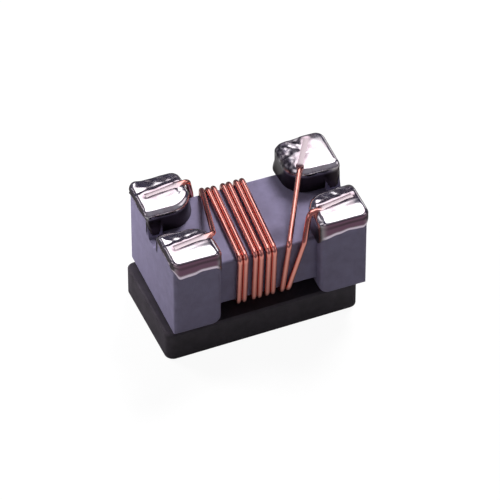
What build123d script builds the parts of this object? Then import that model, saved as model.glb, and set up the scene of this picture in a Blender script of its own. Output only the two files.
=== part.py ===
"""Surface-mount common mode choke.

Two enamelled copper wires are wound side by side round the bar of a ferrite drum core. Each of the
core's four feet wears a cap of tin, and one end of a wire is pressed flat into each cap. A ferrite
plate is glued across the other side of the flanges and closes the magnetic path.

Frame: millimetres. The origin is at the middle of the plate's lower face as the core stands over it,
+X runs along the bar, +Y across it, and +Z points from the plate up to the four tin pads.
"""

import os

from build123d import *

os.makedirs("parts", exist_ok=True)

# ---------------------------------------------------------------- driving dimensions (mm, degrees)

# Cover plate, and how far off the core's axes it was glued
plate_length = 2.014
plate_width = 1.12
plate_thickness = 0.34
plate_corner = 0.09
plate_bevel = 0.02
plate_shift = -0.07
plate_turn = 1.2

# Adhesive between the plate and the flanges
glue_thickness = 0.026
glue_inset = 0.035
glue_corner = 0.06

# Drum core
core_length = 2.0
core_width = 1.22
flange_thickness = 0.487
flange_edge = 0.04
flange_outer_root = 0.055
flange_inner_root = 0.1
bar_width = 0.99
bar_height = 0.541
bar_lift = 0.138
bar_edge = 0.03
foot_height = 0.24
foot_inner_round = 0.34

# Valley between the two feet of a flange
valley_top_width = 0.31
valley_floor_width = 0.16
valley_root = 0.03

# Tin caps
cap_bed = 0.002
cap_side_coat = 0.03
cap_end_coat = 0.025
cap_bar_coat = 0.02
cap_valley_coat_front = 0.015
cap_valley_coat_back = 0.035
cap_round = 0.08
cap_inner_round = 0.22
cap_side_skirt = 0.19
cap_end_skirt = 0.095
cap_floor_gap = 0.006

# Wires. An eight-sided section keeps the many bends light
wire_diameter = 0.056
wire_sides = 8
wire_seat = 0.002
pair_pitch = 0.06
first_turn_pitch = 0.159
second_turn_pitch = 0.138
third_turn_pitch = 0.154
first_crossing = -0.311
front_shift = 0.02
top_shift = 0.063
back_share = 0.4
lead_bend = 0.05

# Where the wires come on to the bar and leave it
first_entry_shift = 0.089
second_entry_shift = 0.035
first_exit_shift = 0.075
second_exit_shift = 0.172
second_exit_drop = 0.02

# Pressed ends of the wires
tail_width = 0.1
tail_thickness = 0.025
tail_bevel = 0.008
tail_taper_length = 0.07

# Where they lie on the feet. An entry is set in from the foot's bar side, a tip from its end face, and
# both keep a margin from its long side. A lead is how far before its entry the wire is already level
front_left_entry_inset = 0.03
front_left_entry_margin = 0.261
front_left_tip_inset = 0.08
front_left_tip_margin = 0.208
front_left_lead = 0.05
back_left_entry_inset = 0.007
back_left_entry_margin = 0.181
back_left_tip_inset = 0.08
back_left_tip_margin = 0.235
back_left_lead = 0.06
back_right_entry_inset = 0.152
back_right_entry_margin = 0.328
back_right_tip_inset = 0.17
back_right_tip_margin = 0.046
back_right_lead = 0.15
front_right_entry_inset = 0.032
front_right_entry_margin = 0.203
front_right_tip_inset = 0.06
front_right_tip_margin = 0.268
front_right_lead = 0.08

# ---------------------------------------------------------------- derived levels and places

flange_bottom = plate_thickness + glue_thickness
bar_bottom = flange_bottom + bar_lift
bar_top = bar_bottom + bar_height
bar_middle = (bar_bottom + bar_top) / 2
foot_top = bar_top + foot_height
pad_level = foot_top + cap_bed + wire_diameter
half_bar = core_length / 2 - flange_thickness

turn_pitches = (first_turn_pitch, second_turn_pitch, third_turn_pitch)
wire_radius = wire_diameter / 2
wire_stand_off = wire_radius + wire_seat
wire_front = -(bar_width / 2 + wire_stand_off)
wire_back = bar_width / 2 + wire_stand_off
wire_low = bar_bottom - wire_stand_off
wire_high = bar_top + wire_stand_off
bend_radius = bar_edge + wire_stand_off

tail_level = pad_level - tail_thickness / 2
entry_level = foot_top + cap_bed + wire_radius


# ---------------------------------------------------------------- cover plate

with BuildPart() as cover_plate:
    with BuildSketch(Plane.XY) as plate_outline:
        with Locations((plate_shift, 0)):
            Rectangle(plate_length, plate_width, rotation=plate_turn)
        fillet(plate_outline.vertices(), plate_corner)
    extrude(amount=plate_thickness)
    plate_rims = cover_plate.edges().group_by(Axis.Z)
    chamfer(plate_rims[0] + plate_rims[-1], plate_bevel)

cover_plate.part.label = "cover_plate"
export_step(cover_plate.part, "parts/cover_plate.step")


# ---------------------------------------------------------------- adhesive under each flange

def glue_layer(side):
    """Adhesive under one flange, held back from the edges of both the flange and the plate."""
    inner = half_bar + glue_inset
    outer = min(core_length / 2, plate_length / 2 + side * plate_shift) - glue_inset
    width = min(core_width, plate_width) - 2 * glue_inset
    with BuildPart() as layer:
        with BuildSketch(Plane.XY.offset(plate_thickness)):
            with Locations((side * (inner + outer) / 2, 0)):
                RectangleRounded(outer - inner, width, glue_corner)
        extrude(amount=glue_thickness)
    return layer


for glue_name, glue_side in (("glue_bond_left", -1), ("glue_bond_right", 1)):
    glue = glue_layer(glue_side)
    glue.part.label = glue_name
    export_step(glue.part, f"parts/{glue_name}.step")


# ---------------------------------------------------------------- ferrite drum core

def flange(side):
    """One flange as a rounded slab, seen from the front in its own profile."""
    inner = side * half_bar
    outer = side * core_length / 2
    with BuildPart() as slab:
        with BuildSketch(Plane.XZ) as profile:
            with BuildLine():
                Polyline(
                    (inner, flange_bottom),
                    (outer, flange_bottom),
                    (outer, foot_top),
                    (inner, foot_top),
                    close=True,
                )
            make_face()
            low = profile.vertices().group_by(Axis.Y)[0].sort_by(Axis.X)
            inner_corner = low[0] if side > 0 else low[-1]
            outer_corner = low[-1] if side > 0 else low[0]
            fillet(inner_corner, flange_inner_root)
            fillet(outer_corner, flange_outer_root)
        extrude(amount=core_width / 2, both=True)
        long_sides = slab.faces().sort_by(Axis.Y)
        fillet(long_sides[0].edges() + long_sides[-1].edges(), flange_edge)
    return slab


def foot_corner(x_side, y_side):
    """What a foot lacks in plan where its inner corner is rounded between the bar and the valley."""
    wall = valley_floor_width / 2
    near, far = x_side * half_bar, x_side * (half_bar + foot_inner_round)
    low, high = y_side * wall, y_side * (wall + foot_inner_round)
    with BuildSketch() as corner:
        with BuildLine():
            Polyline((near, high), (near, 0), (far, 0), (far, low))
            RadiusArc((far, low), (near, high), -x_side * y_side * foot_inner_round)
        make_face()
    return corner.sketch


left_flange = flange(-1)
right_flange = flange(1)

with BuildPart() as ferrite_core:
    with BuildSketch(Plane.YZ) as bar_section:
        with Locations((0, bar_middle)):
            RectangleRounded(bar_width, bar_height, bar_edge)
    extrude(amount=half_bar + flange_thickness / 2, both=True)
    add(left_flange.part)
    add(right_flange.part)
    with BuildSketch(Plane.YZ) as valley:
        with BuildLine():
            rim_overrun = (valley_top_width - valley_floor_width) / 2
            FilletPolyline(
                (-valley_top_width / 2 - rim_overrun, foot_top + foot_height),
                (-valley_floor_width / 2, bar_top),
                (valley_floor_width / 2, bar_top),
                (valley_top_width / 2 + rim_overrun, foot_top + foot_height),
                radius=valley_root,
            )
            Line(
                (-valley_top_width / 2 - rim_overrun, foot_top + foot_height),
                (valley_top_width / 2 + rim_overrun, foot_top + foot_height),
            )
        make_face()
    extrude(amount=core_length, both=True, mode=Mode.SUBTRACT)
    with BuildSketch(Plane.XY.offset(bar_top)):
        for x_side in (-1, 1):
            for y_side in (-1, 1):
                add(foot_corner(x_side, y_side))
    extrude(amount=2 * foot_height, mode=Mode.SUBTRACT)

ferrite_core.part.label = "ferrite_core"
export_step(ferrite_core.part, "parts/ferrite_core.step")


# ---------------------------------------------------------------- the two wires

def crossings():
    """Where the first wire of each pair crosses the bar's lower front edge, turn after turn."""
    places = [first_crossing]
    for pitch in turn_pitches:
        places.append(places[-1] + pitch)
    return places


def turn_corners(offset):
    """Corners of the closed turns of one wire: up the front, over the top, down the back, under."""
    places = crossings()
    corners = []
    for here, pitch in zip(places, turn_pitches):
        x = here + offset
        back_shift = (pitch - front_shift - top_shift) * back_share
        corners.append((x, wire_front, wire_low))
        corners.append((x + front_shift, wire_front, wire_high))
        corners.append((x + front_shift + top_shift, wire_back, wire_high))
        corners.append((x + front_shift + top_shift + back_shift, wire_back, wire_low))
    corners.append((places[-1] + offset, wire_front, wire_low))
    return corners


def wound_wire(route, radii, start_tail, end_tail):
    """Wire along its route, with both ends pressed flat into their pads.

    A tail is (entry, tip) in plan: the wire comes in level at the entry and lies flat up to the tip.
    """
    with BuildPart() as wire:
        with BuildLine() as path:
            FilletPolyline(*route, radius=radii)
        with BuildSketch(Plane(origin=path.line @ 0, x_dir=(0, 0, 1), z_dir=path.line % 0)):
            RegularPolygon(wire_radius, wire_sides, rotation=180 / wire_sides)
        sweep(path=path.line)
        for entry, tip in (start_tail, end_tail):
            run = Vector(tip[0] - entry[0], tip[1] - entry[1], 0)
            along = run.normalized()
            round_end = Vector(*entry, entry_level)
            flat_start = Vector(*entry, tail_level) + along * tail_taper_length
            with BuildSketch(Plane(origin=round_end, x_dir=(0, 0, 1), z_dir=along)):
                RegularPolygon(wire_radius, wire_sides, rotation=180 / wire_sides)
            with BuildSketch(Plane(origin=flat_start, x_dir=(0, 0, 1), z_dir=along)) as pressed:
                Rectangle(tail_thickness, tail_width)
                chamfer(pressed.vertices(), tail_bevel)
            loft(ruled=True)
            with BuildSketch(Plane(origin=flat_start, x_dir=(0, 0, 1), z_dir=along)) as ribbon:
                Rectangle(tail_thickness, tail_width)
                chamfer(ribbon.vertices(), tail_bevel)
            extrude(amount=run.length - tail_taper_length)
    return wire, path


def level_lead(tail, distance):
    """Point where the wire is already level, the given distance before it enters the pad."""
    entry, tip = tail
    along = Vector(tip[0] - entry[0], tip[1] - entry[1], 0).normalized()
    lead = Vector(*entry, entry_level) - along * distance
    return (lead.X, lead.Y, lead.Z)


def tail(x_side, y_side, entry_inset, entry_margin, tip_inset, tip_margin):
    """Plan places of one tail's entry and tip, on the foot at the given sides of the bar."""
    entry = (x_side * (half_bar + entry_inset), y_side * (core_width / 2 - entry_margin))
    tip = (x_side * (core_length / 2 - tip_inset), y_side * (core_width / 2 - tip_margin))
    return entry, tip


tail_front_left = tail(
    -1,
    -1,
    front_left_entry_inset,
    front_left_entry_margin,
    front_left_tip_inset,
    front_left_tip_margin,
)
tail_back_left = tail(
    -1,
    1,
    back_left_entry_inset,
    back_left_entry_margin,
    back_left_tip_inset,
    back_left_tip_margin,
)
tail_back_right = tail(
    1,
    1,
    back_right_entry_inset,
    back_right_entry_margin,
    back_right_tip_inset,
    back_right_tip_margin,
)
tail_front_right = tail(
    1,
    -1,
    front_right_entry_inset,
    front_right_entry_margin,
    front_right_tip_inset,
    front_right_tip_margin,
)

first_under = (turn_pitches[0] - front_shift - top_shift) * (1 - back_share)
second_start = first_crossing + pair_pitch
last_crossing = first_crossing + sum(turn_pitches)

# First wire: back left pad, round the bar, then straight through the air to the back right pad
first_route = [
    (*tail_back_left[0], entry_level),
    level_lead(tail_back_left, back_left_lead),
    (first_crossing - first_entry_shift, wire_back, wire_high),
    (first_crossing - first_under, wire_back, wire_low),
    *turn_corners(0),
    (last_crossing + first_exit_shift, wire_front, wire_high),
    level_lead(tail_back_right, back_right_lead),
    (*tail_back_right[0], entry_level),
]

# Second wire: front left pad, straight to the top of the back, round the bar, then the front right pad
second_route = [
    (*tail_front_left[0], entry_level),
    level_lead(tail_front_left, front_left_lead),
    (second_start - second_entry_shift, wire_back, wire_high),
    (second_start - second_entry_shift / 2, wire_back, wire_low),
    *turn_corners(pair_pitch),
    (last_crossing + pair_pitch + second_exit_shift, wire_front, wire_high - second_exit_drop),
    level_lead(tail_front_right, front_right_lead),
    (*tail_front_right[0], entry_level),
]

turn_bends = [bend_radius] * (4 * len(turn_pitches) + 1)
first_wire, first_path = wound_wire(
    first_route,
    [lead_bend, bend_radius, bend_radius, *turn_bends, bend_radius, lead_bend],
    tail_back_left,
    tail_back_right,
)
second_wire, second_path = wound_wire(
    second_route,
    [lead_bend, bend_radius, bend_radius, *turn_bends, bend_radius, lead_bend],
    tail_front_left,
    tail_front_right,
)

for wire, path, wire_name in (
    (first_wire, first_path, "winding_first"),
    (second_wire, second_path, "winding_second"),
):
    wire.part.label = wire_name
    export_step(wire.part, f"parts/{wire_name}.step")
    print(wire_name, "path", round(path.wire().length, 3), "mm, solids", len(wire.part.solids()))


# ---------------------------------------------------------------- tin caps on the four feet

def tin_cap(x_side, y_side, valley_coat, wire):
    """Tin over one foot: crowned on top, deep towards the bar and the valley, short skirts outside."""
    inner_x = half_bar - cap_bar_coat
    outer_x = core_length / 2 + cap_end_coat
    inner_y = valley_top_width / 2 - valley_coat
    outer_y = core_width / 2 + cap_side_coat
    middle = (x_side * (inner_x + outer_x) / 2, y_side * (inner_y + outer_y) / 2)
    floor_level = bar_top + cap_floor_gap
    with BuildPart() as cap:
        with BuildSketch(Plane.XY.offset(floor_level)) as outline:
            with Locations(middle):
                Rectangle(outer_x - inner_x, outer_y - inner_y)
            inner_corner = (x_side * inner_x, y_side * inner_y, floor_level)
            fillet(outline.vertices().sort_by_distance(inner_corner)[0], cap_inner_round)
        extrude(amount=pad_level - floor_level)
        upright = cap.edges().filter_by(Axis.Z).sort_by_distance(inner_corner)
        fillet(upright[2:] + cap.edges().group_by(Axis.Z)[-1], cap_round)
        with BuildSketch(Plane.XY.offset(floor_level)):
            with Locations((x_side * (core_length / 2 - flange_edge + flange_thickness), 0)):
                Rectangle(2 * flange_thickness, 2 * core_width)
        extrude(amount=pad_level - cap_end_skirt - floor_level, mode=Mode.SUBTRACT)
        with BuildSketch(Plane.XY.offset(floor_level)):
            with Locations((0, y_side * (core_width / 2 - flange_edge + flange_thickness))):
                Rectangle(2 * core_length, 2 * flange_thickness)
        extrude(amount=pad_level - cap_side_skirt - floor_level, mode=Mode.SUBTRACT)
        add(ferrite_core.part, mode=Mode.SUBTRACT)
        add(wire.part, mode=Mode.SUBTRACT)
    return cap


for cap_name, x_side, y_side, valley_coat, wire in (
    ("terminal_front_left", -1, -1, cap_valley_coat_front, second_wire),
    ("terminal_back_left", -1, 1, cap_valley_coat_back, first_wire),
    ("terminal_back_right", 1, 1, cap_valley_coat_back, first_wire),
    ("terminal_front_right", 1, -1, cap_valley_coat_front, second_wire),
):
    cap = tin_cap(x_side, y_side, valley_coat, wire)
    cap.part.label = cap_name
    export_step(cap.part, f"parts/{cap_name}.step")
    print(cap_name, "solids", len(cap.part.solids()), "volume", round(cap.part.volume, 5))
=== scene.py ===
# %% [markdown]
# # A common mode choke, dressed in Blender
#
# The part is a chip choke two millimetres long. A ferrite drum core carries two enamelled copper
# wires, wound side by side round its bar. Each of its four feet was dipped in molten tin, and the
# wire ends were pressed flat into that tin. A darker ferrite plate is glued on below.
#
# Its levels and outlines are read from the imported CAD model, and the wires repeat that model's own
# sizes. Blender adds what the solids can't show: the round gloss of the wire, the frozen melt of the
# tin and the dull grain of the ferrite.

import math

import bmesh
import bpy
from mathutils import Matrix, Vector
from mathutils.bvhtree import BVHTree


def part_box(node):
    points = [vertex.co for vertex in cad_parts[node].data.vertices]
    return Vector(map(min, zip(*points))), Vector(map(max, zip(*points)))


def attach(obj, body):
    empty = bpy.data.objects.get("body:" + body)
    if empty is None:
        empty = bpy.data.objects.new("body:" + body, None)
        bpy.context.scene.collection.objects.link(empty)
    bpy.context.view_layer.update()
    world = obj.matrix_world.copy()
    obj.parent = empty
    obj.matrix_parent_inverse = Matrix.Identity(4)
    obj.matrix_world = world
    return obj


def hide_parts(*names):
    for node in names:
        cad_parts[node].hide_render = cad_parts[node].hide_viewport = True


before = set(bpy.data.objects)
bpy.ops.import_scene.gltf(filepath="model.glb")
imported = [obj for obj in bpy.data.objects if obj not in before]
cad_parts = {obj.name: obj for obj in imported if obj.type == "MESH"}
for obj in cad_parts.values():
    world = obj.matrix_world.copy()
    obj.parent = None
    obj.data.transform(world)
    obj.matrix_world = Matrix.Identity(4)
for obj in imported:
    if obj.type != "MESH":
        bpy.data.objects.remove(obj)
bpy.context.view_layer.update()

# %% [markdown]
# ## Working in millimetres
#
# Blender counts in metres, where this part is 0.002 long. Curve and mesh tools have limits of their
# own that such small numbers run into. So every shape here is worked out in millimetres, and its
# points are multiplied by `MM` as the very last step. The object itself stays at the origin, unscaled.

# %% Units and the levels read from the CAD model
MM = 0.001
per_mm = 1 / MM
cap_floor_gap = 0.006


def box_mm(node):
    """Lowest and highest corner of a CAD node in millimetres."""
    low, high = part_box(node)
    return low / MM, high / MM


_, core_high = box_mm("ferrite_core")
cap_low, cap_high = box_mm("terminal_front_left")
foot_top = core_high.z
half_length = core_high.x
half_width = core_high.y
pad_level = cap_high.z
bar_top = cap_low.z - cap_floor_gap
print("foot top", round(foot_top, 3), "pad level", round(pad_level, 3), "bar top", round(bar_top, 3))

# %% [markdown]
# ## The camera
#
# The part is seen from its front left, a little under forty-five degrees up, through a very long
# lens: the near and the far edges are almost parallel. The camera stands 49 mm away, with its near
# clip pulled in to match.

# %% Camera
camera_azimuth = -21.501
camera_elevation = 43.855
camera_spot = Vector((-12.869, -32.712, 34.393))

camera = bpy.data.objects.new("camera", bpy.data.cameras.new("camera"))
camera.location = camera_spot * MM
camera.rotation_euler = (math.radians(90 - camera_elevation), 0, math.radians(camera_azimuth))
camera.data.sensor_width = 36
camera.data.lens = 360.1
camera.data.clip_start = 0.001
camera.data.clip_end = 20
bpy.context.scene.collection.objects.link(camera)
bpy.context.scene.camera = camera
print("camera", round(camera_spot.length, 1), "mm from the part")

# %% [markdown]
# ## Node helpers
#
# Every material, node group and geometry tree below is built from nodes by a few lines of code. One
# function adds a node with its inputs. Three more are for the nodes that come up again and again: a
# sum, a vector sum, and a soft step between two values.


# %% Short calls that add nodes
def add_node(tree, kind, settings=None, **inputs):
    """Adds a node. Inputs are given by name with _ for a space, or by number as in1; each takes a
    value or another node's output."""
    made = tree.nodes.new(kind)
    for key, value in (settings or {}).items():
        setattr(made, key, value)
    for key, value in inputs.items():
        numbered = key[:2] == "in" and key[2:].isdigit()
        socket = made.inputs[int(key[2:]) if numbered else key.replace("_", " ")]
        if isinstance(value, bpy.types.NodeSocket):
            tree.links.new(value, socket)
        else:
            socket.default_value = value
    return made


def sum_of(tree, operation, a, b=0.0, clamp=False):
    settings = {"operation": operation, "use_clamp": clamp}
    return add_node(tree, "ShaderNodeMath", settings, in0=a, in1=b).outputs[0]


def vector_sum(tree, operation, a, b=None, output=0, **inputs):
    if b is not None:
        inputs["in1"] = b
    return add_node(tree, "ShaderNodeVectorMath", {"operation": operation}, in0=a, **inputs).outputs[output]


def soft_step(tree, value, start, end, first=0.0, last=1.0):
    """Eases from `first` to `last` while the value goes from `start` to `end`."""
    return add_node(
        tree, "ShaderNodeMapRange", {"interpolation_type": "SMOOTHSTEP"},
        Value=value, From_Min=start, From_Max=end, To_Min=first, To_Max=last,
    ).outputs[0]


def object_place(tree):
    """Where a point lies on the part, in metres."""
    return add_node(tree, "ShaderNodeTexCoord").outputs["Object"]


# %% [markdown]
# `Finish` starts a material and holds what a recipe needs most: a node in it, a blend of two colours
# or of two values, and a mask that a mesh stores on its points.


# %% A material under construction
class Finish:
    """A material, its Principled shader, and short calls that add nodes to it."""

    def __init__(self, name, **values):
        self.material = bpy.data.materials.new(name)
        self.material.use_nodes = True
        self.tree = self.material.node_tree
        self.shader = self.tree.nodes["Principled BSDF"]
        for socket, value in values.items():
            self.shader.inputs[socket.replace("_", " ")].default_value = value

    def node(self, kind, settings=None, **inputs):
        return add_node(self.tree, kind, settings, **inputs)

    def blend(self, share, below, above):
        """Mixes two colours. Each is three numbers or another node's output."""
        below, above = (c if isinstance(c, bpy.types.NodeSocket) else (*c, 1) for c in (below, above))
        return self.node("ShaderNodeMix", {"data_type": "RGBA"}, in0=share, in6=below, in7=above).outputs[2]

    def blend_value(self, share, below, above):
        return self.node("ShaderNodeMix", {"data_type": "FLOAT"}, in0=share, in2=below, in3=above).outputs[0]

    def mask(self, name):
        return self.node("ShaderNodeAttribute", {"attribute_name": name}).outputs["Fac"]

    def use(self, output, socket):
        self.tree.links.new(output, self.shader.inputs[socket])


def new_group(name, inputs, outputs):
    """A shader node group with the named float inputs and outputs."""
    group = bpy.data.node_groups.new(name, "ShaderNodeTree")
    for key, value in inputs.items():
        group.interface.new_socket(key, in_out="INPUT", socket_type="NodeSocketFloat").default_value = value
    for key in outputs:
        group.interface.new_socket(key, in_out="OUTPUT", socket_type="NodeSocketFloat")
    return group, group.nodes.new("NodeGroupInput").outputs, group.nodes.new("NodeGroupOutput").inputs


# %% [markdown]
# ## Grain of a sintered body
#
# Ferrite is pressed powder fired until it fuses. Up close it is matt, faintly mottled and full of
# tiny pits. Core, plate and adhesive all show that, at their own strengths, so it is one node group.
# It reads Object coordinates multiplied by a thousand, which makes its sizes millimetres.

# %% Node group: sintered grain
grain_group, grain_in, grain_out = new_group(
    "sintered_grain",
    {"Mottle per mm": 6.0, "Grain per mm": 60.0, "Pit share": 0.3},
    ("Mottle", "Height", "Pits"),
)
grain_place = vector_sum(grain_group, "SCALE", object_place(grain_group), Scale=per_mm)
mottle = add_node(
    grain_group, "ShaderNodeTexNoise", None,
    Vector=grain_place, Scale=grain_in["Mottle per mm"], Detail=4.0, Roughness=0.6,
)
grain = add_node(
    grain_group, "ShaderNodeTexNoise", None,
    Vector=grain_place, Scale=grain_in["Grain per mm"], Detail=3.0, Roughness=0.55,
)
pits = add_node(
    grain_group, "ShaderNodeTexVoronoi", {"feature": "F1"},
    Vector=grain_place, Scale=grain_in["Grain per mm"],
)
pit_depth = soft_step(grain_group, pits.outputs["Distance"], 0.05, 0.35, 1.0, 0.0)
pit_height = sum_of(grain_group, "MULTIPLY", pit_depth, grain_in["Pit share"])
grain_height = sum_of(grain_group, "SUBTRACT", grain.outputs["Fac"], pit_height)
grain_group.links.new(mottle.outputs["Fac"], grain_out["Mottle"])
grain_group.links.new(grain_height, grain_out["Height"])
grain_group.links.new(pit_height, grain_out["Pits"])


def grainy(finish, dark, light, mottle_per_mm, grain_per_mm, pit_share, bump_mm):
    """Gives a finish the sintered bump, and returns its mottled colour between two tones."""
    body = finish.node("ShaderNodeGroup", {"node_tree": grain_group})
    body.inputs["Mottle per mm"].default_value = mottle_per_mm
    body.inputs["Grain per mm"].default_value = grain_per_mm
    body.inputs["Pit share"].default_value = pit_share
    spread = finish.node("ShaderNodeMapRange", None, Value=body.outputs["Mottle"], From_Min=0.3, From_Max=0.7)
    bump = finish.node(
        "ShaderNodeBump", None, Strength=1.0, Distance=bump_mm * MM, Height=body.outputs["Height"]
    )
    finish.use(bump.outputs[0], "Normal")
    return finish.blend(spread.outputs[0], dark, light)


# %% [markdown]
# ## Ferrite
#
# The core is a nickel-zinc ferrite: grey with a violet cast, and matt. The plate is another batch,
# nearly black. Both are dielectrics, so Metallic stays 0 and the roughness is high. On top of the bar,
# near the leads on the right, the core is darker in a small patch that fades out all round.

# %% Materials: core ferrite, plate ferrite, adhesive
# A small soft patch on top of the bar, near the leads on the right, is darker, at most half way to
# near-black.
dark_patch_middle = Vector((0.185, -0.34, bar_top)) * MM
dark_patch_full, dark_patch_gone = 0.02 * MM, 0.17 * MM

core_finish = Finish("core_ferrite", Roughness=0.62, Specular_IOR_Level=0.45)
core_colour = grainy(core_finish, (0.225, 0.197, 0.305), (0.275, 0.245, 0.385), 9.0, 55.0, 0.25, 0.0015)
dark_patch_away = vector_sum(
    core_finish.tree, "DISTANCE", object_place(core_finish.tree), dark_patch_middle, output="Value"
)
dark_patch_share = soft_step(core_finish.tree, dark_patch_away, dark_patch_full, dark_patch_gone, 0.5, 0.0)
core_finish.use(core_finish.blend(dark_patch_share, core_colour, (0.035, 0.028, 0.045)), "Base Color")

plate_finish = Finish("plate_ferrite", Roughness=0.5, Specular_IOR_Level=0.4)
plate_colour = grainy(plate_finish, (0.045, 0.038, 0.047), (0.075, 0.063, 0.078), 7.0, 45.0, 0.3, 0.0015)
plate_finish.use(plate_colour, "Base Color")

glue_finish = Finish("adhesive", Roughness=0.35, Specular_IOR_Level=0.5)
glue_colour = grainy(glue_finish, (0.012, 0.010, 0.012), (0.020, 0.016, 0.018), 14.0, 30.0, 0.0, 0.002)
glue_finish.use(glue_colour, "Base Color")

for node, finish in (
    ("ferrite_core", core_finish),
    ("cover_plate", plate_finish),
    ("glue_bond_left", glue_finish),
    ("glue_bond_right", glue_finish),
):
    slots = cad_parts[node].data.materials
    slots.clear()
    slots.append(finish.material)
    print(node, "wears", finish.material.name)

# %% [markdown]
# ## Tarnish
#
# Hot tin and drawn copper both leave soft patches where the surface reflects a little less clearly.
# One group makes the patches, and each metal uses them for its own roughness and tint.

# %% Node group: tarnish patches
tarnish_group, tarnish_in, tarnish_out = new_group("tarnish", {"Patches per mm": 12.0}, ("Patches",))
tarnish_place = vector_sum(tarnish_group, "SCALE", object_place(tarnish_group), Scale=per_mm)
tarnish_noise = add_node(
    tarnish_group, "ShaderNodeTexNoise", None,
    Vector=tarnish_place, Scale=tarnish_in["Patches per mm"], Detail=3.0, Roughness=0.5,
)
tarnish_mask = soft_step(tarnish_group, tarnish_noise.outputs["Fac"], 0.38, 0.68)
tarnish_group.links.new(tarnish_mask, tarnish_out["Patches"])


def tarnished(finish, patches_per_mm):
    patches = finish.node("ShaderNodeGroup", {"node_tree": tarnish_group})
    patches.inputs["Patches per mm"].default_value = patches_per_mm
    return patches.outputs["Patches"]


# %% [markdown]
# ## Tin
#
# Fresh tin is a mirror. Where it froze last, or where the bath left oxide on it, it is duller and
# darker. Round its edges the tin also carries painted light: painted shade on the walls and on the band
# below the crown, and a painted highlight on the rim. Those places follow the shape of each cap, not a
# texture, so the caps further down store them as masks on their points, and the material lays a tint
# over the bare metal for each:
#
# - `rim` is the frosted line where the tin ends on the ferrite, with a painted highlight in its pale tint,
# - `side` is painted shade: a dark mauve band between that line and the crown,
# - the wall mask paints shade, near black and duller, on the wall towards the bar and the valley,
# - `blush` is where copper shows through round the pressed wire,
# - `film` is the smoky skin behind the wire, broken up by tarnish patches.

# %% Material: tin
tin_finish = Finish("tin", Metallic=1.0)
tin_patches = tarnished(tin_finish, 14.0)
tin_shown = tin_finish.blend(tin_patches, (0.86, 0.84, 0.87), (0.74, 0.66, 0.69))
# Tints over bare tin: a painted highlight on the frosted rim, painted shade on the side band and on the wall
# towards the bar and the valley, and copper showing through round the ribbon.
for mask_name, tint in (
    ("rim", (1.0, 0.86, 1.0)),
    ("side", (0.17, 0.09, 0.135)),
    ("shaded_inner_wall", (0.045, 0.035, 0.04)),
    ("blush", (0.37, 0.275, 0.315)),
):
    tin_shown = tin_finish.blend(tin_finish.mask(mask_name), tin_shown, tint)
tin_clear = sum_of(tin_finish.tree, "SUBTRACT", 1.0, tarnished(tin_finish, 19.0), clamp=True)
tin_smoke = sum_of(tin_finish.tree, "MULTIPLY", tin_finish.mask("film"), tin_clear)
tin_finish.use(tin_finish.blend(tin_smoke, tin_shown, (0.06, 0.05, 0.075)), "Base Color")

tin_polish = tin_finish.node("ShaderNodeMapRange", None, Value=tin_patches, To_Min=0.10, To_Max=0.17)
tin_frosted = tin_finish.blend_value(tin_finish.mask("rim"), tin_polish.outputs[0], 0.4)
tin_matt = sum_of(tin_finish.tree, "MAXIMUM", tin_finish.mask("film"), tin_finish.mask("shaded_inner_wall"))
tin_finish.use(tin_finish.blend_value(tin_matt, tin_frosted, 0.32), "Roughness")
print("tin has", len(tin_finish.tree.nodes), "nodes")

# %% [markdown]
# ## Enamelled copper
#
# The wire is bright copper under a coat of clear red-brown enamel, so the enamel is a Coat over a
# metal. Its ends lost their enamel in the bath: there the copper is tinned, paler and duller. The
# wire's own mask `pressed` says where.

# %% Material: enamelled copper, and copper under tin where the wire is pressed
copper_finish = Finish("enamelled_copper", Metallic=1.0, Coat_Weight=1.0, Coat_Roughness=0.18, Coat_IOR=2.6)
copper_patches = tarnished(copper_finish, 6.0)
copper_colour = copper_finish.blend(copper_patches, (0.86, 0.19, 0.11), (0.80, 0.15, 0.09))
copper_polish = copper_finish.node("ShaderNodeMapRange", None, Value=copper_patches, To_Min=0.20, To_Max=0.24)
pressed = copper_finish.mask("pressed")
copper_finish.use(copper_finish.blend(pressed, copper_colour, (0.35, 0.25, 0.275)), "Base Color")
copper_finish.use(copper_finish.blend_value(pressed, copper_polish.outputs[0], 0.35), "Roughness")
print("copper has", len(copper_finish.tree.nodes), "nodes")

# %% [markdown]
# ## The route of each wire
#
# The wires run as they do in the CAD model: level off one pad, over the bar's edge, round the bar in
# three closed turns and three sides of a fourth, and level on to the other pad. The corners follow
# from a few sizes. Blender's Fillet Curve node then rounds every corner, so the list below is all
# that has to be written down.

# %% Sizes of the winding, in millimetres
wire_diameter = 0.056
pair_pitch = 0.06
turn_pitches = (0.159, 0.138, 0.154)
first_crossing = -0.311
front_shift = 0.02
top_shift = 0.063
back_share = 0.4
first_entry_shift = 0.089
second_entry_shift = 0.035
first_exit_shift = 0.075
second_exit_shift = 0.172
second_exit_drop = 0.02
bend_radius = 0.06
wire_seat = 0.002

bar_width = 0.99
bar_bottom = 0.504
half_bar = 0.513
stand_off = wire_diameter / 2 + wire_seat
wire_front = -(bar_width / 2 + stand_off)
wire_back = bar_width / 2 + stand_off
wire_low = bar_bottom - stand_off
wire_high = bar_top + stand_off
entry_level = foot_top + wire_seat + wire_diameter / 2
last_crossing = first_crossing + sum(turn_pitches)
first_under = (turn_pitches[0] - front_shift - top_shift) * (1 - back_share)


# %% Where the ends lie on the pads
def tail(x_side, y_side, entry_inset, entry_margin, tip_inset, tip_margin, lead):
    """Tip, entry and lead point of one pressed end, at the level of the round wire.

    An entry is set in from the bar, a tip from the end face, and both from the long side. The lead is
    how far before its entry the wire is already level.
    """
    entry = Vector((x_side * (half_bar + entry_inset), y_side * (half_width - entry_margin), entry_level))
    tip = Vector((x_side * (half_length - tip_inset), y_side * (half_width - tip_margin), entry_level))
    return tip, entry, entry + (entry - tip).normalized() * lead


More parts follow.
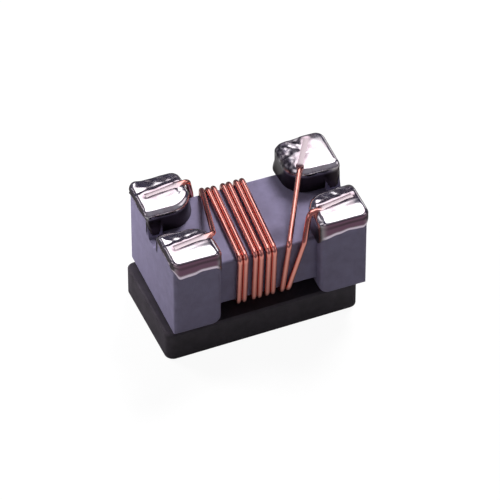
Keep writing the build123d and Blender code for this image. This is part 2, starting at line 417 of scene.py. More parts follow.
tail_front_left = tail(-1, -1, 0.03, 0.261, 0.08, 0.208, 0.05)
tail_back_left = tail(-1, 1, 0.007, 0.181, 0.08, 0.235, 0.06)
tail_back_right = tail(1, 1, 0.152, 0.328, 0.17, 0.046, 0.15)
tail_front_right = tail(1, -1, 0.032, 0.203, 0.06, 0.268, 0.08)


# %% Corners of both routes
def turns(offset):
    """Corners of the closed turns of one wire, up the front, over, down the back and under."""
    corners = []
    here = first_crossing + offset
    for pitch in turn_pitches:
        over = here + front_shift
        back = over + top_shift
        corners += [
            (here, wire_front, wire_low),
            (over, wire_front, wire_high),
            (back, wire_back, wire_high),
            (back + (pitch - front_shift - top_shift) * back_share, wire_back, wire_low),
        ]
        here += pitch
    return corners + [(here, wire_front, wire_low)]


second_start = first_crossing + pair_pitch
second_exit = last_crossing + pair_pitch + second_exit_shift
wire_routes = {
    "winding_first": (
        tail_back_left,
        [
            (first_crossing - first_entry_shift, wire_back, wire_high),
            (first_crossing - first_under, wire_back, wire_low),
            *turns(0),
            (last_crossing + first_exit_shift, wire_front, wire_high),
        ],
        tail_back_right,
    ),
    "winding_second": (
        tail_front_left,
        [
            (second_start - second_entry_shift, wire_back, wire_high),
            (second_start - second_entry_shift / 2, wire_back, wire_low),
            *turns(pair_pitch),
            (second_exit, wire_front, wire_high - second_exit_drop),
        ],
        tail_front_right,
    ),
}
for wire_name, (start, corners, end) in wire_routes.items():
    print(wire_name, "has", len(corners) + 4, "route points")

# %% [markdown]
# ## Drawing the wire with Geometry Nodes
#
# A wire is one section carried along a path, so a node tree makes it. Fillet Curve rounds the route's
# corners, Resample Curve lays rings a hundredth of a millimetre apart, and Curve to Mesh sweeps a
# circle along them. Near both ends the tree presses the round section into a flat ribbon: it widens
# each ring sideways, thins it in height, and lifts it to the level of the pad. How far a ring is
# pressed is stored as the attribute `pressed`, and the copper material reads it.

# %% Geometry Nodes: the tree and its inputs
wire_tree = bpy.data.node_groups.new("wound_wire", "GeometryNodeTree")
wire_inputs = {}


def wire_input(key, kind):
    wire_inputs[key] = wire_tree.interface.new_socket(key, in_out="INPUT", socket_type=kind).identifier


wire_input("Geometry", "NodeSocketGeometry")
for key in (
    "Diameter", "Bend Radius", "Ring Step", "Ribbon Width", "Ribbon Thickness", "Ribbon Rise",
    "Press Length", "Start Tail", "End Tail", "Metres per Unit",
):
    wire_input(key, "NodeSocketFloat")
wire_input("Sides", "NodeSocketInt")
wire_input("Finish", "NodeSocketMaterial")
wire_tree.interface.new_socket("Geometry", in_out="OUTPUT", socket_type="NodeSocketGeometry")
given = wire_tree.nodes.new("NodeGroupInput").outputs


def gn(kind, settings=None, **inputs):
    return add_node(wire_tree, kind, settings, **inputs)


def gn_sum(operation, a, b=0.0):
    return sum_of(wire_tree, operation, a, b)


def gn_vector(operation, a, b=None, output=0, **inputs):
    return vector_sum(wire_tree, operation, a, b, output, **inputs)


# %% Geometry Nodes: the path, and how far it is pressed
rounded = gn(
    "GeometryNodeFilletCurve", {"mode": "POLY"},
    Curve=given["Geometry"], Count=8, Radius=given["Bend Radius"], Limit_Radius=True,
)
rings = gn(
    "GeometryNodeResampleCurve", {"mode": "LENGTH"}, Curve=rounded.outputs[0], Length=given["Ring Step"]
)
from_start = gn("GeometryNodeSplineParameter").outputs["Length"]
from_end = gn_sum("SUBTRACT", gn("GeometryNodeSplineLength").outputs["Length"], from_start)


def pressed_near(distance, tail_length):
    """1 on the ribbon, easing to 0 where the wire enters the pad."""
    flat_from = gn_sum("SUBTRACT", tail_length, given["Press Length"])
    return soft_step(wire_tree, distance, flat_from, tail_length, 1.0, 0.0)


press = gn_sum(
    "MAXIMUM", pressed_near(from_start, given["Start Tail"]), pressed_near(from_end, given["End Tail"])
)


def keep_on_rings(geometry, data_type, value):
    """Stores a value of the path on each ring, so that the mesh still knows it."""
    kept = wire_tree.nodes.new("GeometryNodeCaptureAttribute")
    kept.capture_items.new(data_type, "kept")
    wire_tree.links.new(geometry, kept.inputs[0])
    wire_tree.links.new(value, kept.inputs[1])
    return kept.outputs[0], kept.outputs[1]


path, press_kept = keep_on_rings(rings.outputs[0], "FLOAT", press)
path, heading = keep_on_rings(path, "VECTOR", gn("GeometryNodeInputTangent").outputs[0])
path, centre = keep_on_rings(path, "VECTOR", gn("GeometryNodeInputPosition").outputs[0])

# %% Geometry Nodes: sweep the circle and press its ends
section = gn(
    "GeometryNodeCurvePrimitiveCircle", None,
    Resolution=given["Sides"], Radius=gn_sum("MULTIPLY", given["Diameter"], 0.5),
)
tube = gn("GeometryNodeCurveToMesh", None, Curve=path, Profile_Curve=section.outputs[0], Fill_Caps=True)

up = (0.0, 0.0, 1.0)
sideways = gn_vector("NORMALIZE", gn_vector("CROSS_PRODUCT", up, heading))
reach = gn_vector("SUBTRACT", gn("GeometryNodeInputPosition").outputs[0], centre)
widen = gn_sum("SUBTRACT", gn_sum("DIVIDE", given["Ribbon Width"], given["Diameter"]), 1.0)
flatten = gn_sum("SUBTRACT", gn_sum("DIVIDE", given["Ribbon Thickness"], given["Diameter"]), 1.0)
across = gn_sum("MULTIPLY", gn_vector("DOT_PRODUCT", reach, sideways, "Value"), widen)
thinning = gn_sum("MULTIPLY", gn_vector("DOT_PRODUCT", reach, up, "Value"), flatten)
height = gn_sum("ADD", thinning, given["Ribbon Rise"])
move = gn_vector("ADD", gn_vector("SCALE", sideways, Scale=across), gn_vector("SCALE", up, Scale=height))

# %% Geometry Nodes: finish the wire
shaped = gn(
    "GeometryNodeSetPosition", None,
    Geometry=tube.outputs[0], Offset=gn_vector("SCALE", move, Scale=press_kept),
)
marked = gn(
    "GeometryNodeStoreNamedAttribute", {"data_type": "FLOAT", "domain": "POINT"},
    Geometry=shaped.outputs[0], Name="pressed", Value=press_kept,
)
smooth = gn("GeometryNodeSetShadeSmooth", None, Geometry=marked.outputs[0])
metres = given["Metres per Unit"]
scale_vector = gn("ShaderNodeCombineXYZ", None, X=metres, Y=metres, Z=metres)
sized = gn("GeometryNodeTransform", None, Geometry=smooth.outputs[0], Scale=scale_vector.outputs[0])
real = gn("GeometryNodeRealizeInstances", None, Geometry=sized.outputs[0])
finished = gn("GeometryNodeSetMaterial", None, Geometry=real.outputs[0], Material=given["Finish"])
wire_tree.links.new(finished.outputs[0], wire_tree.nodes.new("NodeGroupOutput").inputs[0])
print("wire tree has", len(wire_tree.nodes), "nodes")

# %% [markdown]
# The route goes in as a plain polyline in millimetres. Once the tree has run, its result is copied to
# an ordinary mesh, and the curve with its modifier is thrown away. A ribbon lies a little under the
# pad's highest level, so that the tin closes over its edges. `end_stretch` is how far before its entry
# a wire starts to flatten: the first wire's far entry lies well inside its pad, so there it is more.

# %% Winding both wires
ribbon_width = 0.1
ribbon_thickness = 0.016
ribbon_sunk = 0.020
press_length = 0.09
start_stretch = 0.02
ring_step = 0.012
wire_sides = 20


def link(obj):
    bpy.context.scene.collection.objects.link(obj)
    return obj


def show_instead(name, mesh, node):
    """Shows a mesh in place of a CAD node."""
    piece = link(bpy.data.objects.new(name, mesh))
    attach(piece, "root")
    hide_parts(node)
    print(piece.name, len(mesh.polygons), "faces")
    return piece


def wind(node, start, corners, end, end_stretch):
    route = [start[0], start[2], *map(Vector, corners), end[2], end[0]]
    path_curve = bpy.data.curves.new(node + "_route", "CURVE")
    path_curve.dimensions = "3D"
    spline = path_curve.splines.new("POLY")
    spline.points.add(len(route) - 1)
    for point, place in zip(spline.points, route):
        point.co = (*place, 1)
    carrier = link(bpy.data.objects.new(node + "_route", path_curve))
    modifier = carrier.modifiers.new("wire", "NODES")
    modifier.node_group = wire_tree
    for key, value in {
        "Diameter": wire_diameter,
        "Bend Radius": bend_radius,
        "Ring Step": ring_step,
        "Ribbon Width": ribbon_width,
        "Ribbon Thickness": ribbon_thickness,
        "Ribbon Rise": pad_level - ribbon_sunk - entry_level,
        "Press Length": press_length,
        "Start Tail": (start[0] - start[1]).length + start_stretch,
        "End Tail": (end[0] - end[1]).length + end_stretch,
        "Metres per Unit": MM,
        "Sides": wire_sides,
        "Finish": copper_finish.material,
    }.items():
        modifier[wire_inputs[key]] = value
    evaluated = carrier.evaluated_get(bpy.context.evaluated_depsgraph_get())
    mesh = bpy.data.meshes.new_from_object(evaluated)
    bpy.data.objects.remove(carrier)
    return show_instead(node + "_wire", mesh, node)


wind("winding_first", *wire_routes["winding_first"], end_stretch=0.13)
wind("winding_second", *wire_routes["winding_second"], end_stretch=0.02)

# %% [markdown]
# ## Molten tin on the feet
#
# Each foot was dipped in a bath of tin. Surface tension draws the melt into a pillow: nearly flat on
# top, round over the edges, with a wavy rim where it stopped creeping down the ferrite. Towards the
# bar and the valley it runs right down and feathers out on the core.
#
# A bevelled box would be too regular, and sculpting couldn't be written down. Rings can: the outline
# of the foot is walked round once for every step from the middle of the pad over the crown and down
# to the rim. Each ring's height and reach come from plain functions of where its points are.


# %% Outline of a foot
def rounded_outline(half_x, half_y, radii, count):
    """Points and outward normals round a rectangle, evenly spaced, each corner with its own radius.

    The corners come anticlockwise, the one at +x +y first.
    """
    pieces = []
    for turn, radius in enumerate(radii):
        x_way, y_way = ((1, 1), (-1, 1), (-1, -1), (1, -1))[turn]
        centre = Vector((x_way * (half_x - radius), y_way * (half_y - radius)))
        after = radii[(turn + 1) % 4]
        run = 2 * (half_x if turn % 2 == 0 else half_y) - radius - after
        pieces.append((centre, radius, turn * math.pi / 2, math.pi * radius / 2, run))
    total = sum(arc + run for _, _, _, arc, run in pieces)
    outline = []
    for step in range(count):
        left = total * step / count
        for centre, radius, angle, arc, run in pieces:
            if left <= arc + run:
                break
            left -= arc + run
        angle += min(left, arc) / radius
        normal = Vector((math.cos(angle), math.sin(angle)))
        along = Vector((-normal.y, normal.x))
        outline.append((centre + normal * radius + along * max(0.0, left - arc), normal))
    return outline


# %% [markdown]
# Five small functions shape the melt. `settle` runs from 0 to 1 between two bounds with a soft start
# and end, and `bell` is a bump that is 1 in its middle. The rim's height is given at a few places
# along each outer side, and `along_knots` eases between them.


# %% How the tin lies
def settle(value, low, high):
    t = min(1.0, max(0.0, (value - low) / (high - low)))
    return t * t * (3 - 2 * t)


def bell(distance, width):
    return math.exp(-((distance / width) ** 2))


def along_knots(knots, place):
    """Height at a place between given (place, height) knots, eased from one to the next."""
    if place <= knots[0][0]:
        return knots[0][1]
    for (a, height_a), (b, height_b) in zip(knots, knots[1:]):
        if place <= b:
            return height_a + (height_b - height_a) * settle(place, a, b)
    return knots[-1][1]


def distance_to_run(point, start, end):
    """Distance in plan from a point to the run between two others."""
    run = end - start
    share = min(1.0, max(0.0, (point - start).dot(run) / run.length_squared))
    return (point - start - run * share).length


def ripple(x, y, seed):
    """A slow swell, from a few crossed waves, between about -1 and 1."""
    return (
        math.sin(11 * x + 7 * y + 2.1 * seed)
        + math.sin(-8 * x + 13 * y + 3.7 * seed)
        + math.sin(17 * x - 5 * y + 5.3 * seed)
    ) / 3


# %% [markdown]
# The tin can't be thinner than nothing. A search tree over the ferrite's own mesh tells how far a
# point of the skin stands off the core, and pushes it out where it came too near. Where the nearest
# triangle is a sliver its normal can't be trusted, so a point that is well clear stays where it is.
#
# This guards the points, not the faces between them, and the smoothing comes after it. On the sloping
# walls of the valley a little ferrite still shows through the tin in narrow wedges, and at the valley's
# ends the tin reaches on to the end face in thin tongues.

# %% The ferrite under the tin
core_bmesh = bmesh.new()
core_bmesh.from_mesh(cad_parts["ferrite_core"].data)
bmesh.ops.scale(core_bmesh, vec=(per_mm, per_mm, per_mm), verts=core_bmesh.verts)
core_surface = BVHTree.FromBMesh(core_bmesh)
core_bmesh.free()


def stand_off_core(point, least):
    """The point, moved out along the core's normal until it stands at least so far off."""
    nearest, normal, _, _ = core_surface.find_nearest(point)
    gap = point - nearest
    outside = gap.dot(normal) > -0.3 * gap.length
    return point if outside and gap.length >= least else nearest + normal * least


# %% [markdown]
# ### The top of a pillow
#
# The ribbon was pressed in while the tin was soft. In front of it the tin stays level and shows one
# clean reflection. Behind it the tin sags, crumples and skins over, except near a patch abreast of
# the ribbon that froze first. Behind a ribbon that lies along the bar is towards +y, and behind one
# that lies across it is towards -x.


# %% The melt round a ribbon
class Melt:
    """The top of one pillow. Lengths are in millimetres, `film` is a share."""

    def __init__(self, ribbon, fall, patch, seam, crumple, film, seed):
        self.tip, self.entry = ribbon[0].xy, ribbon[1].xy
        self.way = (self.tip - self.entry).normalized()
        self.behind = Vector((-self.way.y, self.way.x))
        along_bar = abs(self.way.x) >= abs(self.way.y)
        wrong_way = self.behind.y < 0 if along_bar else self.behind.x > 0
        if wrong_way:
            self.behind = -self.behind
        self.fall, self.patch, self.seam = fall, patch, seam
        self.crumple, self.film, self.seed = crumple, film, seed

    def away(self, spot):
        return distance_to_run(spot, self.entry, self.tip)

    def past(self, spot):
        """How far a spot lies behind the ribbon."""
        return (spot - self.entry).dot(self.behind)

    def sagging(self, spot):
        """1 where the tin behind the ribbon gave way, 0 abreast of the patch that froze first."""
        return 1 - bell((spot - self.entry).dot(self.way) - self.patch, 0.085)

    def folds(self, spot):
        x, y = spot
        swing = math.sin(38 * x + 22 * y + 1.7 * math.sin(19 * y + 9 * x + self.seed))
        swing += 0.6 * math.sin(47 * y - 25 * x + 2.1 * math.sin(23 * x + self.seed))
        return self.crumple * settle(self.past(spot), 0.03, 0.09) * swing

    def top(self, spot):
        """Height of the pillow at a spot: level, with all that the ribbon did to it."""
        past = self.past(spot)
        meniscus = 0.0015 * bell(self.away(spot) - 0.050, 0.030)
        lobe = 0.004 * bell(past + 0.13, 0.07)
        sag = self.fall * (past - 0.06) * settle(past, 0.02, 0.10) * self.sagging(spot)
        seam = self.seam * bell(past - 0.085, 0.018)
        swell = 0.002 * ripple(spot.x, spot.y, self.seed)
        return pad_level - 0.014 + meniscus + lobe - sag - seam + self.folds(spot) + swell


# %% [markdown]
# ### One cap, ring by ring
#
# Every point of the outline faces the bar, the valley, the end face or the long side, or something in
# between. Those four shares always add up to 1, and they blend what the tin does on each side: how
# wide its crown is, how far down it reaches and which mask it carries. From such a point a column runs
# down the skin: the plateau, the crown, the side and the rim that curls under.

# %% Sizes of a cap
ring_count = 176
plateau_steps = 24
crown_steps = 14
side_steps = 22
rim_steps = 8
top_steps = plateau_steps + crown_steps
shown_steps = top_steps + side_steps

outline_margin = 0.004
inner_round = 0.22
outer_round = 0.085
valley_round = 0.05
valley_crown = 0.08
end_crown = 0.05
long_crown = 0.03
edge_drop = 0.003
waist_depth = 0.010
least_skin = 0.012
print("each cap has", (shown_steps + rim_steps) * ring_count + 1, "points")


# %% The columns and masks of a cap
class TinCap:
    """The tin on one foot. `x_side` and `y_side` are the signs of the foot's corner of the core."""

    def __init__(self, node, x_side, y_side, melt, long_rim, end_rim, bar_spread, bar_crown, groove, lumps):
        low, high = box_mm(node)
        self.node, self.x_side, self.y_side, self.melt = node, x_side, y_side, melt
        self.middle = Vector(((low.x + high.x) / 2, (low.y + high.y) / 2))
        self.half_x, self.half_y = (high.x - low.x) / 2, (high.y - low.y) / 2
        self.long_rim, self.end_rim = long_rim, end_rim
        self.bar_spread, self.bar_crown, self.groove, self.lumps = bar_spread, bar_crown, groove, lumps

    def outline(self):
        rounds = {(-self.x_side, -self.y_side): inner_round, (self.x_side, -self.y_side): valley_round}
        radii = [rounds.get(corner, outer_round) for corner in ((1, 1), (-1, 1), (-1, -1), (1, -1))]
        return rounded_outline(self.half_x - outline_margin, self.half_y - outline_margin, radii, ring_count)

    def facing(self, normal):
        """How far a normal faces the bar, the valley, the end face and the long side."""
        x, y = normal.x * self.x_side, normal.y * self.y_side
        return max(0.0, -x) ** 2, max(0.0, -y) ** 2, max(0.0, x) ** 2, max(0.0, y) ** 2

    def rim_height(self, spot, normal):
        """Where the tin stops. At the corner of the end face it waits with its drop to the valley."""
        bar, valley, end, long = self.facing(normal)
        low_share = settle(valley, 0.5, 1.0) if end > 0 else valley
        rim = long * along_knots(self.long_rim, abs(spot.x))
        rim += (end + valley - low_share) * along_knots(self.end_rim, abs(spot.y))
        rim += 0.004 * ripple(3 * spot.x, 3 * spot.y, self.melt.seed) * (end + long)
        return rim + bar * (bar_top - 0.004) + low_share * (bar_top + 0.012)

    def column(self, point, normal):
        """Points from near the middle of the pad down to the curl of the rim."""
        bar, valley, end, long = self.facing(normal)
        outside = end + long
        spot = self.middle + point
        crown = self.bar_crown * bar + valley_crown * valley + end_crown * end + long_crown * long
        shoulder = Vector((point.x * (1 - crown / self.half_x), point.y * (1 - crown / self.half_y)))
        edge = self.melt.top(self.middle + shoulder) - edge_drop
        rim = self.rim_height(spot, normal)
        column = []
        for step in range(1, plateau_steps + 1):
            reach = (step + 1) / (plateau_steps + 1)
            place = self.middle + shoulder * reach
            dip = self.groove * bar * bell((1 - reach) * shoulder.length - 0.05, 0.013)
            column.append(Vector((*place, self.melt.top(place) - dip - edge_drop * reach ** 4)))
        for step in range(1, crown_steps + 1):
            angle = step / crown_steps * math.pi / 2
            place = self.middle + shoulder + (point - shoulder) * math.sin(angle)
            column.append(Vector((*place, edge - crown * (1 - math.cos(angle)))))
        for step in range(1, side_steps + 1):
            share = step / side_steps
            waist = -waist_depth * math.sin(math.pi * settle(share, 0.0, 0.95)) * outside
            flare = settle(abs(spot.y), 0.10, 0.55) * max(0.0, (share - 0.25) / 0.75) ** 2.5
            out = waist + bar * self.bar_spread * flare
            column.append(Vector((*(spot + normal * out), edge - crown + (rim - edge + crown) * share)))
        lip = column[-1]
        for step in range(1, rim_steps + 1):
            angle = step / rim_steps * math.pi * 0.9
            inward = (0.012 + 0.022 * (1 - math.cos(angle))) * outside
            under = 0.014 * math.sin(angle) * outside + 0.006 * (1 - outside)
            column.append(Vector((*(lip.xy - normal * inward), lip.z - under)))
        return column

    def settled(self, place, step, normal):
        """A point of a column, kept off the ferrite and pushed out by the lumps."""
        bar, valley, _, _ = self.facing(normal)
        if step < shown_steps:
            late = (step - top_steps) / side_steps
            least = least_skin - 0.010 * settle(late, 0.5, 1.0) * (bar + valley)
            place = stand_off_core(place, least)
        outward = (place - Vector((*self.middle, pad_level - 0.15))).normalized()
        for lump, size, height in self.lumps:
            place = place + outward * height * bell((place - Vector(lump)).length, size)
        return place

    def masks(self, place, step, normal):
        """What the tin material reads at a point."""
        bar, valley, end, long = self.facing(normal)
        rim = settle(step, shown_steps - 7, shown_steps - 3) * (end + long)
        band = settle(step, plateau_steps + 3, plateau_steps + 9) * (0.5 * end + long)
        smoke = settle(self.melt.past(place.xy), 0.03, 0.09) * self.melt.sagging(place.xy)
        # The rim carries a painted highlight; the side band and the wall towards the bar and the valley carry
        # painted shade.
        return {
            "rim": rim,
            "side": band * (1 - rim),
            "shaded_inner_wall": settle(step, plateau_steps + 6, top_steps + 2) * (bar + valley),
            "blush": 0.9 * bell(self.melt.away(place.xy), 0.075),
            "film": self.melt.film * smoke if step < top_steps else 0.0,
        }


# %% [markdown]
# The columns become a closed mesh: a fan round the middle, a quad for every step of every column, and
# one face that closes it off inside the ferrite, where it is never seen. Three rounds of smoothing
# take away the last creases that `stand_off_core` leaves.


# %% From columns to a mesh
def cast(cap):
    """Builds one cap's mesh and shows it in place of its CAD node."""
    outline = cap.outline()
    columns = [cap.column(point, normal) for point, normal in outline]
    steps = len(columns[0])
    verts = [Vector((*cap.middle, cap.melt.top(cap.middle)))]
    masks = {"rim": [0.0], "side": [0.0], "shaded_inner_wall": [0.0], "blush": [0.0], "film": [0.0]}
    for step in range(steps):
        for column, (_, normal) in zip(columns, outline):
            verts.append(cap.settled(column[step], step, normal))
            for mask_name, value in cap.masks(verts[-1], step, normal).items():
                masks[mask_name].append(value)

    def corner(step, index):
        return 1 + step * ring_count + index % ring_count

    faces = [(0, corner(0, index), corner(0, index + 1)) for index in range(ring_count)]
    for step in range(steps - 1):
        for index in range(ring_count):
            above = corner(step, index), corner(step + 1, index)
            faces.append((*above, corner(step + 1, index + 1), corner(step, index + 1)))
    faces.append([corner(steps - 1, index) for index in reversed(range(ring_count))])

    mesh = bpy.data.meshes.new(cap.node + "_tin")
    mesh.from_pydata(verts, [], faces)
    for mask_name, values in masks.items():
        mesh.attributes.new(mask_name, "FLOAT", "POINT").data.foreach_set("value", values)
    soft = bmesh.new()
    soft.from_mesh(mesh)
    soft.verts.ensure_lookup_table()
    smoothed = soft.verts[:1 + (shown_steps - 6) * ring_count]
    for _ in range(3):
        bmesh.ops.smooth_vert(
            soft, verts=smoothed, factor=0.5, use_axis_x=True, use_axis_y=True, use_axis_z=True
        )
    bmesh.ops.scale(soft, vec=(MM, MM, MM), verts=soft.verts)
    bmesh.ops.recalc_face_normals(soft, faces=soft.faces)
    soft.to_mesh(mesh)
    soft.free()
    mesh.polygons.foreach_set("use_smooth", [True] * len(mesh.polygons))
    mesh.materials.append(tin_finish.material)
    return show_instead(cap.node + "_tin", mesh, cap.node)


# %% [markdown]
# Rim heights and lumps differ from foot to foot, as dips in a bath do. A knot of a rim is a place
# along its side and a height. A lump is a place, a size and a height; it breaks up the mirror images
# in the crown.

# %% The four caps
front_left_rim = ((0.50, 1.133), (0.60, 1.150), (0.71, 1.156), (0.80, 1.135), (0.95, 1.120), (1.015, 1.19))
front_right_rim = ((0.513, 1.160), (0.554, 1.126), (0.68, 1.155), (0.80, 1.170), (0.98, 1.156))
plain_rim = ((0.5, 1.16), (0.66, 1.13), (0.84, 1.165), (1.0, 1.15))
left_end_rim = ((0.15, 1.27), (0.30, 1.25), (0.45, 1.262), (0.6, 1.23))
right_end_rim = ((0.15, 1.26), (0.35, 1.24), (0.6, 1.25))

cast(TinCap(
    "terminal_front_left", -1, -1,
    Melt(tail_front_left, fall=0.16, patch=0.42, seam=0.005, crumple=0.0015, film=0.45, seed=1),
    front_left_rim, left_end_rim, bar_spread=0.0, bar_crown=0.09, groove=0.0,
    lumps=(((-0.86, -0.22, 1.31), 0.05, 0.006), ((-0.60, -0.20, 1.31), 0.05, 0.004)),
))
cast(TinCap(
    "terminal_back_left", -1, 1,
    Melt(tail_back_left, fall=0.16, patch=0.42, seam=0.005, crumple=0.0015, film=0.45, seed=2),
    plain_rim, left_end_rim, bar_spread=0.06, bar_crown=0.045, groove=0.004,
    lumps=(((-0.90, 0.50, 1.31), 0.05, 0.006), ((-0.72, 0.54, 1.30), 0.03, 0.004)),
))
cast(TinCap(
    "terminal_back_right", 1, 1,
    Melt(tail_back_right, fall=0.10, patch=2.0, seam=0.0, crumple=0.004, film=0.95, seed=3),
    plain_rim, right_end_rim, bar_spread=0.02, bar_crown=0.09, groove=0.0,
    lumps=(
        ((0.53, 0.50, 1.27), 0.04, 0.006),
        ((0.52, 0.35, 1.24), 0.035, 0.005),
        ((0.54, 0.22, 1.24), 0.03, 0.005),
    ),
))
cast(TinCap(
    "terminal_front_right", 1, -1,
    Melt(tail_front_right, fall=0.15, patch=0.03, seam=0.002, crumple=0.002, film=0.45, seed=4),
    front_right_rim, right_end_rim, bar_spread=0.0, bar_crown=0.09, groove=0.0,
    lumps=(((0.62, -0.25, 1.31), 0.05, 0.006), ((0.80, -0.20, 1.30), 0.04, 0.005)),
))

# %% [markdown]
# ## Floor, lamps and world
#
# The part stands on a plain white floor. To the camera it is nearly white by itself, so that only a
# faint shadow of the part is left on it. To light that bounces it is a dull grey, so that it doesn't
# flood the part from below. Tin and copper mirror it too: in a mirror image it is bright in front of
# the part, dark beside and behind it, and pale again in a patch a little way back.

# %% Floor
floor_reach = 2.0
floor_finish = Finish("floor")
floor_tree = floor_finish.tree
ray = floor_finish.node("ShaderNodeLightPath").outputs
mirrored_ray = sum_of(floor_tree, "MAXIMUM", ray["Is Glossy Ray"], ray["Is Transmission Ray"])
seen = sum_of(floor_tree, "MAXIMUM", ray["Is Camera Ray"], mirrored_ray)

floor_place = object_place(floor_tree)
floor_y = floor_finish.node("ShaderNodeSeparateXYZ", None, Vector=floor_place).outputs["Y"]
front_glow = soft_step(floor_tree, floor_y, -1.8 * MM, -0.6 * MM, 0.62, 0.12)
back_away = vector_sum(floor_tree, "DISTANCE", floor_place, (0.0, 1.8 * MM, 0.0), output="Value")
back_glow = soft_step(floor_tree, back_away, 0.7 * MM, 1.5 * MM, 0.5, 0.0)
floor_mirrored = sum_of(floor_tree, "MAXIMUM", front_glow, back_glow)
floor_bright = floor_finish.blend_value(ray["Is Camera Ray"], floor_mirrored, 0.94)


def floor_mix(share, below, above):
    return floor_finish.node("ShaderNodeMixShader", None, in0=share, in1=below, in2=above).outputs[0]


floor_plain = floor_finish.node("ShaderNodeBsdfDiffuse", None, Color=(0.45, 0.45, 0.45, 1)).outputs[0]
floor_shade = floor_finish.node("ShaderNodeBsdfDiffuse", None, Color=(0.10, 0.10, 0.10, 1)).outputs[0]
floor_glow = floor_finish.node(
    "ShaderNodeEmission", None, Color=(1, 1, 1, 1), Strength=floor_bright
).outputs[0]
floor_lit = floor_finish.node("ShaderNodeAddShader", None, in0=floor_shade, in1=floor_glow).outputs[0]
floor_seen = floor_mix(ray["Is Camera Ray"], floor_glow, floor_lit)
floor_surface = floor_mix(seen, floor_plain, floor_seen)
floor_tree.links.new(floor_surface, floor_tree.nodes["Material Output"].inputs["Surface"])

floor_corners = [(x * floor_reach, y * floor_reach, 0) for x, y in ((-1, -1), (1, -1), (1, 1), (-1, 1))]
floor_mesh = bpy.data.meshes.new("floor")
floor_mesh.from_pydata(floor_corners, [], [(0, 1, 2, 3)])
floor_mesh.materials.append(floor_finish.material)
floor = link(bpy.data.objects.new("floor", floor_mesh))
print("floor", 2 * floor_reach, "m wide")

# %% [markdown]
# Four soft panels light the matt surfaces: a key from high behind on the right, a broad fill from the
# left, a small one close by on the back left, and a weak one in front. Mirrors don't show them.

# %% Lamps
lamp_target = Vector((0, 0, 0.7))


def panel(name, direction, distance_mm, width_mm, height_mm, watts):
    """A soft panel that stands in the given direction from the part and faces it."""
    lamp = bpy.data.lights.new(name, "AREA")
    lamp.shape = "RECTANGLE"
    lamp.size = width_mm * MM
    lamp.size_y = height_mm * MM
    lamp.energy = watts
    holder = link(bpy.data.objects.new(name, lamp))
    way = Vector(direction).normalized()
    holder.location = (lamp_target + way * distance_mm) * MM
    holder.rotation_euler = way.to_track_quat("Z", "Y").to_euler()
    holder.visible_glossy = False
    holder.visible_camera = False
    print("lamp", name, watts, "W")
    return holder


panel("key", (0.45, 0.45, 0.77), 80, 30, 30, 0.067)
panel("fill", (-1.0, -0.15, 0.08), 80, 60, 50, 0.011)
panel("near_fill", (-3.0, 2.4, 1.3), 4.4, 1.5, 1.5, 0.00012)
panel("front_fill", (0.2, -1.0, 0.1), 80, 60, 50, 0.0035)

# %% [markdown]
# ## The studio that mirrors show
#
# Tin and copper show the studio, not the lamps. To rays that bounce off a glossy surface the world is
# a dim room with softboxes in it. A softbox is a soft-edged rectangle round a direction: its node
# group compares the ray's direction with the box's own three axes, and gives 1 inside it, 0 outside.

# %% Node group: softbox
softbox_group = bpy.data.node_groups.new("softbox", "ShaderNodeTree")
softbox_group.interface.new_socket("Aim", in_out="INPUT", socket_type="NodeSocketVector")
for key in ("Half Width", "Half Height", "Edge"):
    softbox_group.interface.new_socket(key, in_out="INPUT", socket_type="NodeSocketFloat")
softbox_group.interface.new_socket("Glow", in_out="OUTPUT", socket_type="NodeSocketFloat")
box_in = softbox_group.nodes.new("NodeGroupInput").outputs
box_out = softbox_group.nodes.new("NodeGroupOutput").inputs


def box_vector(operation, a, b=None, output=0):
    return vector_sum(softbox_group, operation, a, b, output)


def box_sum(operation, a, b=0.0):
    return sum_of(softbox_group, operation, a, b)


ray_way = add_node(softbox_group, "ShaderNodeTexCoord").outputs["Generated"]
aim = box_vector("NORMALIZE", box_in["Aim"])
aside = box_vector("NORMALIZE", box_vector("CROSS_PRODUCT", aim, (0.0, 0.0, 1.0)))
upward = box_vector("CROSS_PRODUCT", aside, aim)
depth = box_sum("MAXIMUM", box_vector("DOT_PRODUCT", ray_way, aim, "Value"), 0.001)
inside = box_sum("GREATER_THAN", depth, 0.01)
for axis, half in ((aside, "Half Width"), (upward, "Half Height")):
    sideways_share = box_sum("DIVIDE", box_vector("DOT_PRODUCT", ray_way, axis, "Value"), depth)
    off_centre = box_sum("ABSOLUTE", sideways_share)
    fade_from = box_sum("SUBTRACT", box_in[half], box_in["Edge"])
    share = soft_step(softbox_group, off_centre, fade_from, box_in[half], 1.0, 0.0)
    inside = box_sum("MULTIPLY", inside, share)
softbox_group.links.new(inside, box_out["Glow"])

# %% [markdown]
# The large box overhead is what the pads mirror, and its edge is where they turn from white to dark.
# Those behind draw the thin highlights in the crowns. Those at the sides and in front keep the metal
# bright when the part is seen from elsewhere.

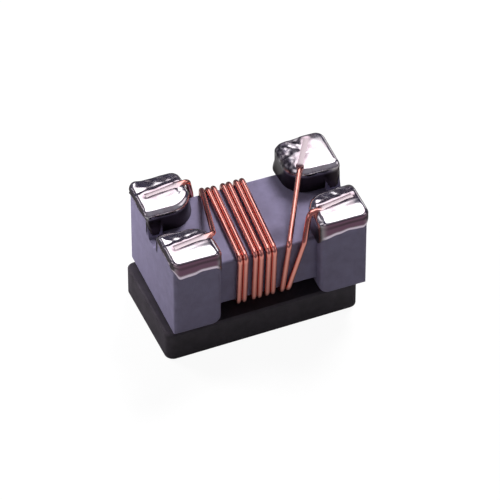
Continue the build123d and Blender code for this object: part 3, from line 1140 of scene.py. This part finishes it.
# %% Softboxes: aim, half width, half height, soft edge and strength
softboxes = {
    "overhead": ((0.20, 0.40, 1.0), 0.46, 0.50, 0.06, 2.3),
    "high behind": ((-0.35, 0.67, 0.62), 0.32, 0.30, 0.15, 0.10),
    "high in front": ((0.0, -1.0, 1.2), 1.2, 0.90, 0.35, 0.16),
    "low behind on the right": ((0.73, 0.67, 0.10), 0.16, 0.14, 0.05, 1.2),
    "strip behind on the left": ((-0.55, 0.67, 0.42), 0.05, 0.22, 0.03, 1.1),
    "horizon behind": ((0.0, 1.0, 0.10), 1.2, 0.10, 0.08, 0.16),
    "right": ((0.94, -0.34, 0.62), 0.40, 0.32, 0.15, 0.9),
    "left": ((-0.94, -0.34, 0.62), 0.40, 0.32, 0.15, 0.9),
    "back left": ((-0.90, 0.40, 0.52), 0.24, 0.24, 0.12, 0.8),
    "horizon in front": ((0.0, -1.0, 0.0), 1.2, 0.20, 0.15, 0.14),
}
world = bpy.data.worlds.new("studio")
bpy.context.scene.world = world
world.use_nodes = True
world_tree = world.node_tree

studio_light = 0.0
for softbox_aim, half_width, half_height, edge, strength in softboxes.values():
    softbox = add_node(world_tree, "ShaderNodeGroup", {"node_tree": softbox_group})
    softbox.inputs["Aim"].default_value = softbox_aim
    softbox.inputs["Half Width"].default_value = half_width
    softbox.inputs["Half Height"].default_value = half_height
    softbox.inputs["Edge"].default_value = edge
    glow = sum_of(world_tree, "MULTIPLY", softbox.outputs["Glow"], strength)
    studio_light = sum_of(world_tree, "ADD", studio_light, glow)
print("the studio has", len(softboxes), "softboxes")

# %% [markdown]
# Three skies share the world. Light that falls on the part comes from a faint plain one, mirrors show
# the studio, and the camera sees white.


# %% World
def sky(colour, strength):
    made = add_node(world_tree, "ShaderNodeBackground", None, Color=(*colour, 1), Strength=strength)
    return made.outputs[0]


def sky_mix(share, below, above):
    return add_node(world_tree, "ShaderNodeMixShader", None, in0=share, in1=below, in2=above).outputs[0]


plain = world_tree.nodes["Background"]
plain.inputs["Color"].default_value = (0.95, 0.94, 1.0, 1)
plain.inputs["Strength"].default_value = 0.05
boxes = sky((1.0, 0.97, 0.99), studio_light)
room = sky((0.72, 0.64, 1.0), 0.085)
studio = add_node(world_tree, "ShaderNodeAddShader", None, in0=boxes, in1=room).outputs[0]
world_ray = add_node(world_tree, "ShaderNodeLightPath").outputs
world_mirrored = sum_of(world_tree, "MAXIMUM", world_ray["Is Glossy Ray"], world_ray["Is Transmission Ray"])
lit_world = sky_mix(world_mirrored, plain.outputs[0], studio)
whole_world = sky_mix(world_ray["Is Camera Ray"], lit_world, sky((1, 1, 1), 1.0))
world_tree.links.new(whole_world, world_tree.nodes["World Output"].inputs["Surface"])
bpy.context.scene.view_settings.view_transform = "Standard"
